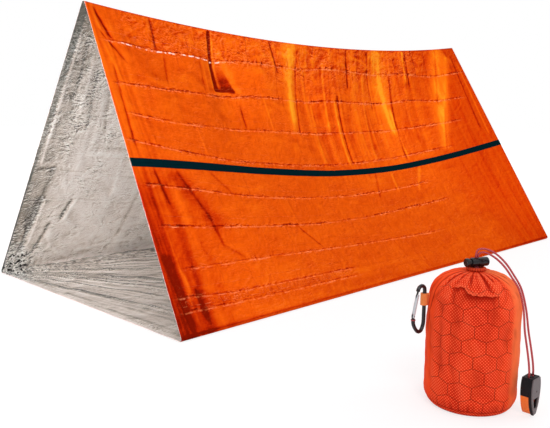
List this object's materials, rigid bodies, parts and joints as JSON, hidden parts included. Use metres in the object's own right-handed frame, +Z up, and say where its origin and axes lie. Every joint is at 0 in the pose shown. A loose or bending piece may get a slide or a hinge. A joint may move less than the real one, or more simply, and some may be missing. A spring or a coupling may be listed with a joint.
{
  "type": "emergency tube tent",
  "caption": "Tube of orange film with a silver lining, pitched as an open-ended ridge tent, beside its drawstring stuff sack with carabiner and whistle.",
  "frame": {"origin": "on the ground, under the middle of the pitched tent's groundsheet", "axes": "+X along the ridge from the open near end to the far end, +Y from the front wall to the back wall, +Z up"},
  "size_m": [2.1, 1.8004, 0.8674],
  "materials": {
    "orange_film": "satin",
    "silver_film": "metallised",
    "stripe_tape": "satin",
    "sack_ripstop": "woven",
    "packed_film": "crumpled",
    "drawcord": "braided",
    "black_plastic": "gloss",
    "steel": "polished",
    "tab_webbing": "woven",
    "tab_thread": "stitched",
    "black_aluminium": "anodised",
    "bare_aluminium": "polished",
    "red_ring": "satin",
    "grey_plastic": "satin",
    "orange_plastic": "satin"
  },
  "bodies": {
    "tent": {"front_wall": "orange_film", "back_wall": "orange_film", "groundsheet": "orange_film", "silver_lining": "silver_film", "front_stripe": "stripe_tape", "back_stripe": "stripe_tape"},
    "stuff_sack": {"sack_body": "sack_ripstop", "sack_base": "sack_ripstop", "packed_film": "packed_film", "drawcord_channel": "sack_ripstop", "drawcord_held": "drawcord", "drawcord_front": "drawcord", "drawcord_rear": "drawcord", "whistle_cord_loop": "drawcord", "cord_lock_barrel": "black_plastic", "cord_lock_spring": "steel", "webbing_tab": "tab_webbing", "bar_tack_front": "tab_thread", "bar_tack_back": "tab_thread"},
    "lock_plunger": {"cord_lock_plunger": "black_plastic"},
    "carabiner": {"carabiner_body": "black_aluminium", "carabiner_ring": "red_ring", "gate_hinge_pin": "steel"},
    "gate": {"carabiner_gate": "bare_aluminium", "gate_latch_pin": "steel", "gate_spring": "steel"},
    "whistle": {"whistle_face": "grey_plastic", "whistle_frame_plate": "black_plastic", "whistle_housing": "black_plastic", "whistle_insert": "orange_plastic"}
  },
  "joints": [
    {"name": "sack_lift", "type": "slide", "parent": "tent", "child": "stuff_sack", "axis": [0, 0, 1], "range_m": [0, 0.3]},
    {"name": "lock_press", "type": "slide", "parent": "stuff_sack", "child": "lock_plunger", "axis": [0.9063, -0.4226, 0], "range_m": [0, 0.004], "stiffness_N_per_m": 150, "springref_m": -0.004, "deforming": ["cord_lock_spring"]},
    {"name": "carabiner_swing", "type": "hinge", "parent": "stuff_sack", "child": "carabiner", "pos_m": [-0.91493, -1.10207, 0.2], "axis": [0, 0, 1], "range_deg": [-120, 40]},
    {"name": "gate_open", "type": "hinge", "parent": "carabiner", "child": "gate", "pos_m": [-0.95203, -1.10207, 0.181], "axis": [0, 1, 0], "range_deg": [0, 18], "stiffness_Nm_per_rad": 0.02, "springref_deg": -11.46},
    {"name": "whistle_swing", "type": "hinge", "parent": "stuff_sack", "child": "whistle", "pos_m": [-0.8245, -1.2875, 0.0702], "axis": [1, 0, 0], "range_deg": [-12, 8]}
  ]
}
